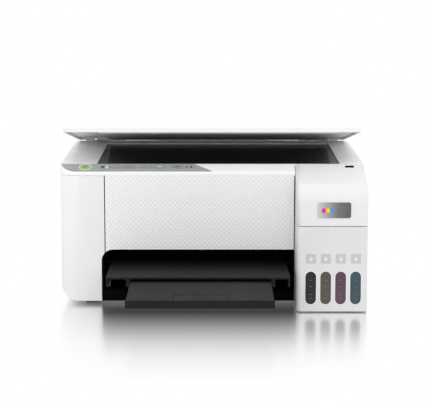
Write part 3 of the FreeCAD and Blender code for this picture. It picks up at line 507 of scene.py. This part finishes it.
def button_mark(name, number, top, mats):
    """A small plain mark on each long button."""
    if name == "colour_copy_button":
        shapes, material = [rounded(6 * MM, 3.4 * MM, 0.8 * MM)], "icon_blue"
    elif name == "stop_button":
        shapes, material = [rounded(5 * MM, 2.6 * MM, 0.6 * MM)], "icon_dark"
    else:
        spots = (-2.2, 0, 2.2) if number % 2 else (-1.6, 1.6)
        shapes = [moved(rounded(1.3 * MM, 1.6 * MM, 0.4 * MM), u * MM, 0) for u in spots]
        material = "icon_dark"
    for count, outline in enumerate(shapes):
        plate(f"{name}_mark_{count}", outline, top, 0, MARK_RISE, mats[material],
              "black_plastic", name)


def ink_block_details(mats):
    """Window rims, level ticks and label plates on the block's front."""
    low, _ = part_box("ink_tank_housing")
    window_z, label_z = low.z + 28.95 * MM, low.z + 64.95 * MM
    level_marks = (9.5, 1.5, -8.0, -13.0)
    for ink in INKS:
        left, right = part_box(f"ink_tank_{ink}")
        x = (left.x + right.x) / 2
        frame_plate(f"window_rim_{ink}", rounded(14.6 * MM, 42.1 * MM, 7.3 * MM),
                    rounded(12.9 * MM, 40.4 * MM, 6.45 * MM), front_of(x, low.y, window_z),
                    -0.6 * MM, 0.25 * MM, mats["white_plastic"], "white_plastic",
                    "printer_body", 0.2 * MM)
        for number, v in enumerate(level_marks):
            plate(f"level_tick_{ink}_{number}", rounded(3.4 * MM, 0.35 * MM, 0.15 * MM),
                  front_of(x, left.y, window_z + v * MM), 0, 0.12 * MM, mats["icon_tick"],
                  f"ink_{ink}", "printer_body")
        label = front_of(x, low.y, label_z)
        plate(f"tank_label_{ink}", rounded(12.1 * MM, 11.7 * MM, 1.4 * MM), label, -0.3 * MM,
              0.25 * MM, mats["label_grey"], "grey_plastic", "printer_body", 0.1 * MM)
        plate(f"tank_label_mark_{ink}", moved(drop(2.3 * MM), 0, -0.8 * MM), label, 0.2 * MM,
              0.4 * MM, mats["label_pale"], "white_plastic", "printer_body")


def badge_details(mats):
    """Three ink drops at the badge's left."""
    low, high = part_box("ink_cover_badge")
    first, pitch, z = low.x + 7.6 * MM, 5.3 * MM, (low.z + high.z) / 2 - 0.6 * MM
    for number, ink in enumerate(("magenta", "yellow", "cyan")):
        plate(f"badge_drop_{ink}", drop(2.5 * MM), front_of(first + pitch * number, low.y, z),
              -0.1 * MM, 0.25 * MM, mats[f"drop_{ink}"], "badge_plastic", "ink_cover")


def lid_details(mats):
    """The mat's sheet of painted shade, a grey sheet in the lid's own slope that stands for the
    shade on the white mat's underside.
    """
    low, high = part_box("document_mat")
    front, deep, under, edge = -245.3 * MM, 214.3 * MM, 0.5 * MM, 1 * MM
    along = Vector((0, math.cos(LID_OPEN), -math.sin(LID_OPEN)))
    lid = Facing(LID_AXIS, (1, 0, 0), along)
    centre = Facing(lid.at((low.x + high.x) / 2, front + deep / 2, under), lid.u, lid.v)
    painted_shade_sheet = rounded(high.x - low.x - 0.6 * MM, deep - 0.8 * MM, edge)
    # painted shade: a grey sheet laid over the white mat
    plate("mat_painted_shade_sheet", painted_shade_sheet, centre, -0.25 * MM, 0.05 * MM, mats["mat_painted_shade"], "foam", "lid")


def right_top_label(mats):
    """A small dark plate on the ink cover's slope."""
    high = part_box("ink_cover")[1]
    slope, x = math.radians(17.5), 169.3 * MM
    spot = Facing((x, high.y - 6.5 * MM, high.z - 2.0 * MM), (1, 0, 0),
                  (0, math.cos(slope), math.sin(slope)))
    plate("model_plate", rounded(11 * MM, 5.6 * MM, 0.8 * MM), spot, -0.1 * MM, 0.25 * MM,
          mats["black_and_painted_bay_shade"], "black_plastic", "ink_cover", 0.1 * MM)


def bay_details(mats):
    """The sheet guide that shows inside the bay, beside the tray."""
    tray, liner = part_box("output_tray")[0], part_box("output_bay_liner")[0]
    spot = front_of(tray.x - 3 * MM, liner.y + 12 * MM, tray.z - 12 * MM)
    plate("bay_guide", rounded(5.4 * MM, 13.4 * MM, 1.2 * MM), spot, -20 * MM, 0,
          mats["icon_dark"], "black_plastic", "printer_body", 0.4 * MM)


def rear_gap_painted_shade(mats):
    """Grey strips of painted shade that close the gap behind the lid, at each end of the feeder.
    """
    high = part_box("rear_cover")[1]
    inner, outer, tall, wall = 121 * MM, 177 * MM, 1.7 * MM, 2.4 * MM
    z = high.z - 0.2 * MM - tall / 2
    for name, side in (("rear_gap_shade_left", -1), ("rear_gap_shade_right", 1)):
        spot = front_of(side * (inner + outer) / 2, high.y - wall, z)
        # painted shade: a dark grey strip where the gap behind the lid lies in shade
        plate(name, rounded(outer - inner, tall, 0.4 * MM), spot, -0.1 * MM, 0.25 * MM,
              mats["icon_grey"], "foam", "printer_body")


def dress_frame(frame, mats):
    """Give every CAD node its material, and round the edges that show."""
    slots = {row["node"]: row["material_slot"] for row in frame["record"]["subparts"]}
    for name, obj in frame["nodes"].items():
        obj.data.materials.clear()
        obj.data.materials.append(mats[PAINTED_LIGHT_MATERIALS.get(name, slots[name])])
    for name, width in BEVELS.items():
        soften(frame["nodes"][name], width * MM, weld=True)


# ---- studio ----

def area_light(name, place, target, size, power):
    """A soft rectangular light that faces its target."""
    light = bpy.data.lights.new(name, "AREA")
    light.shape = "RECTANGLE"
    light.size, light.size_y = size
    light.energy = power
    obj = bpy.data.objects.new(name, light)
    bpy.context.scene.collection.objects.link(obj)
    obj.location = place
    aim = Vector(target) - Vector(place)
    obj.rotation_euler = aim.to_track_quat("-Z", "Y").to_euler()


def reach_outside(tree):
    """How far a floor point lies outside the printer's footprint, in metres."""
    half_width, middle_y, half_depth = 0.1875, 0.0765, 0.1735
    place = axes(tree, tree.nodes.new("ShaderNodeNewGeometry").outputs["Position"])
    from_middle = reckon(tree, "SUBTRACT", place["Y"], middle_y)
    aside = reckon(tree, "SUBTRACT", reckon(tree, "ABSOLUTE", place["X"]), half_width)
    before = reckon(tree, "SUBTRACT", reckon(tree, "ABSOLUTE", from_middle), half_depth)
    return reckon(tree, "MAXIMUM", aside, before)


def floor_material():
    """White that glows, mixed with a mirror that fades away from the printer."""
    mat = bpy.data.materials.new("floor")
    mat.use_nodes = True
    tree = mat.node_tree
    tree.nodes.clear()
    fade_length = 0.33
    stops = ((0.0, 0.95), (0.1, 0.85), (0.28, 0.6), (0.45, 0.34), (0.62, 0.17), (0.78, 0.07),
             (1.0, 0.0))
    mirrored = tone_ramp(tree, share(tree, reach_outside(tree), 0.0, fade_length), stops)
    white = tree.nodes.new("ShaderNodeEmission")
    seen = tree.nodes.new("ShaderNodeLightPath").outputs["Is Camera Ray"]
    tree.links.new(spread(tree, seen, FLOOR_GLOW, 1.0), white.inputs["Strength"])
    mirror = tree.nodes.new("ShaderNodeBsdfGlossy")
    mirror.inputs["Color"].default_value = (1, 1, 1, 1)
    tree.links.new(spread(tree, noise(tree, 3), 0.2, 0.24), mirror.inputs["Roughness"])
    both = tree.nodes.new("ShaderNodeMixShader")
    out = tree.nodes.new("ShaderNodeOutputMaterial")
    tree.links.new(mirrored, both.inputs["Fac"])
    tree.links.new(white.outputs["Emission"], both.inputs[1])
    tree.links.new(mirror.outputs["BSDF"], both.inputs[2])
    tree.links.new(both.outputs["Shader"], out.inputs["Surface"])
    return mat


def studio_floor():
    """A white floor that shows the printer's reflection near its foot."""
    bpy.ops.mesh.primitive_plane_add(size=60, location=(0, 8, 0))
    floor = bpy.context.object
    floor.name = "studio_floor"
    floor.data.materials.append(floor_material())


def studio():
    """A white room with a soft light overhead and another in front."""
    scene = bpy.context.scene
    scene.view_settings.view_transform = "Standard"
    world = bpy.data.worlds.new("studio")
    scene.world = world
    world.use_nodes = True
    sky = world.node_tree.nodes["Background"]
    sky.inputs["Color"].default_value = (1, 1, 1, 1)
    sky.inputs["Strength"].default_value = 1.0
    area_light("top_softbox", (0.2, 0.2, 2.4), (0, 0.1, 0), (3.0, 3.0), 4)
    area_light("front_softbox", (-0.4, -2.6, 1.0), (0, 0, 0.1), (2.4, 1.6), 9)
    studio_floor()


def camera():
    """A long lens, a little above the printer and in front of it."""
    tilt_down = 9.09
    data = bpy.data.cameras.new("camera")
    data.sensor_width = 36
    data.lens = 132.3
    data.shift_x = 0.0104
    data.clip_end = 100
    obj = bpy.data.objects.new("camera", data)
    bpy.context.scene.collection.objects.link(obj)
    obj.location = (-0.00115, -1.971, 0.4337)
    obj.rotation_euler = (math.radians(90 - tilt_down), 0, 0)
    bpy.context.scene.camera = obj


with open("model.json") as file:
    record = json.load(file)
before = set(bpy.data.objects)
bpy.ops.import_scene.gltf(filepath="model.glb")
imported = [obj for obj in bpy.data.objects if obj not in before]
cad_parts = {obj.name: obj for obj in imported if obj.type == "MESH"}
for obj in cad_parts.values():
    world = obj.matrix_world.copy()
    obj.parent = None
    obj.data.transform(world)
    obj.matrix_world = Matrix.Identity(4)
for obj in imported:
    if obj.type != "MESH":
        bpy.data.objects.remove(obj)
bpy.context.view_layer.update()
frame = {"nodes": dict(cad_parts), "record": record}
mats = make_materials()
dress_frame(frame, mats)
lattice_panel(mats)
control_panel_details(mats)
ink_block_details(mats)
badge_details(mats)
lid_details(mats)
right_top_label(mats)
bay_details(mats)
rear_gap_painted_shade(mats)
studio()
camera()
